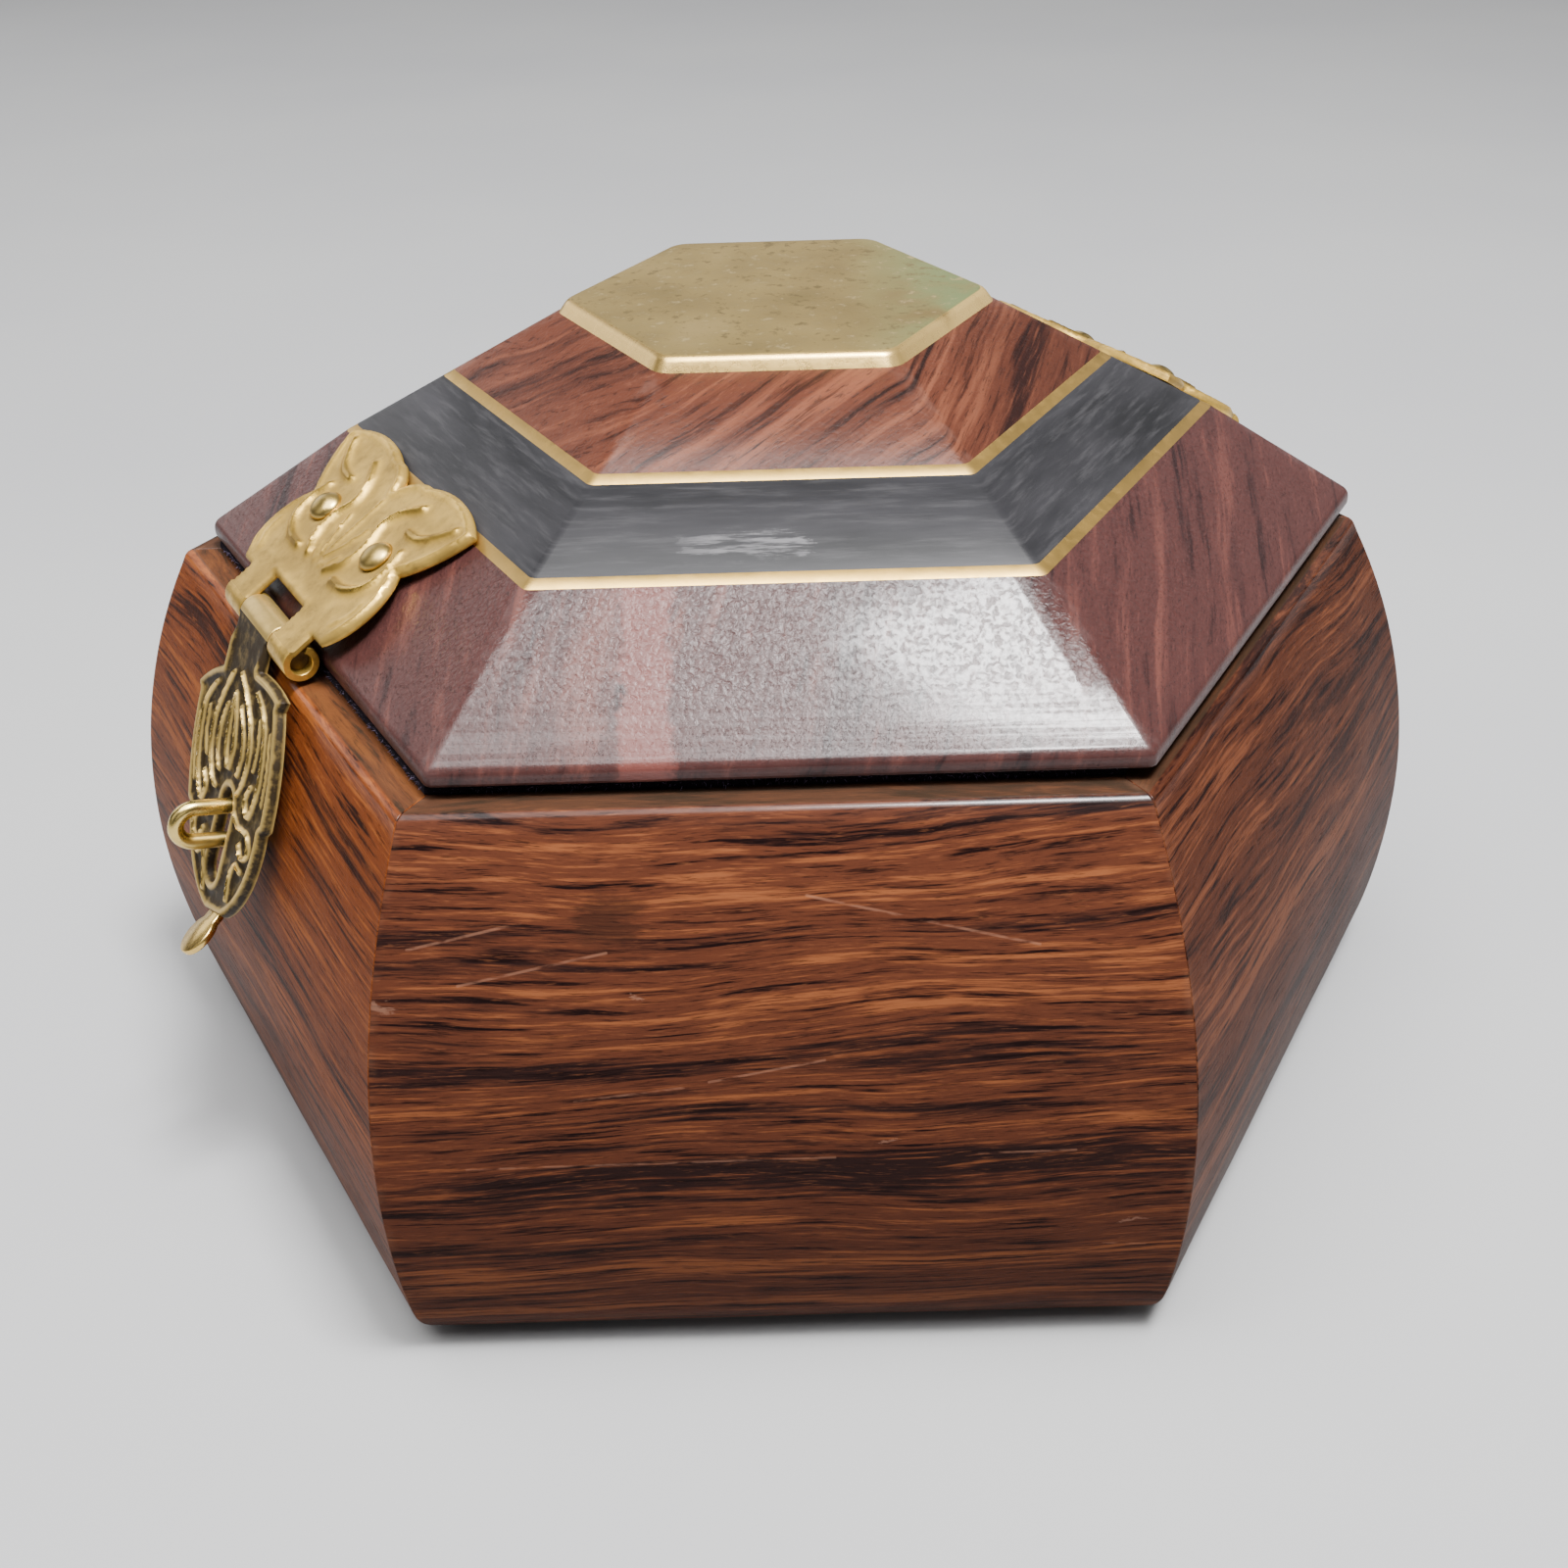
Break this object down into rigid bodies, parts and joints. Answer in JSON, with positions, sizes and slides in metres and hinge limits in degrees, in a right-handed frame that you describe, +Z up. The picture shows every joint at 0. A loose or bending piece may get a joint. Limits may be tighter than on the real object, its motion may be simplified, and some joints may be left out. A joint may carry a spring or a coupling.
{
  "type": "hexagonal keepsake box",
  "caption": "Hexagonal rosewood keepsake box with a swelling body, a hipped lid banded in black and brass, a rear hinge, a hasp and staple, and a velvet-lined inside.",
  "frame": {"origin": "centre of the base, on the surface that the box stands on", "axes": "+X through two opposite corners, -Y out of the wall that faces the viewer, +Z up"},
  "size_m": [0.1192, 0.1032, 0.068],
  "materials": {
    "wall_wood": "waxed rosewood, fine dark streaks",
    "floor_wood": "plain sanded rosewood",
    "lid_wood": "glossy lacquered rosewood",
    "black_wood": "black, satin, scuffed",
    "inlay_brass": "satin brass edge",
    "plate_brass": "dull tarnished brass",
    "fitting_brass": "stamped brass",
    "dark_brass": "stamped antique brass",
    "velvet": "dark velvet"
  },
  "bodies": {
    "box": {"wall_front": "wall_wood", "wall_front_right": "wall_wood", "wall_back_right": "wall_wood", "wall_back": "wall_wood", "wall_back_left": "wall_wood", "wall_front_left": "wall_wood", "lining_front": "velvet", "lining_front_right": "velvet", "lining_back_right": "velvet", "lining_back": "velvet", "lining_back_left": "velvet", "lining_front_left": "velvet", "floor_board": "floor_wood", "floor_lining": "velvet", "hinge_body_leaf": "dark_brass", "hinge_body_nails": "fitting_brass", "hasp_staple": "fitting_brass"},
    "lid": {"lid_base": "lid_wood", "lower_brass_sheet": "inlay_brass", "black_band": "black_wood", "upper_brass_sheet": "inlay_brass", "upper_block": "lid_wood", "top_plate": "plate_brass", "lid_lining": "velvet", "hinge_lid_leaf": "fitting_brass", "hinge_lid_nails": "fitting_brass", "hinge_pin": "fitting_brass", "hasp_lid_leaf": "fitting_brass", "hasp_lid_nails": "fitting_brass", "hasp_pin": "fitting_brass"},
    "hasp_flap": {"hasp_flap": "dark_brass"}
  },
  "joints": [
    {"name": "lid_hinge", "type": "hinge", "parent": "box", "child": "lid", "pos_m": [0.04018, 0.0232, 0.04854], "axis": [-0.5, 0.866, 0], "range_deg": [0, 105]},
    {"name": "hasp_hinge", "type": "hinge", "parent": "lid", "child": "hasp_flap", "pos_m": [-0.03943, -0.0193, 0.04854], "axis": [-0.5, 0.866, 0], "range_deg": [0, 150]}
  ]
}
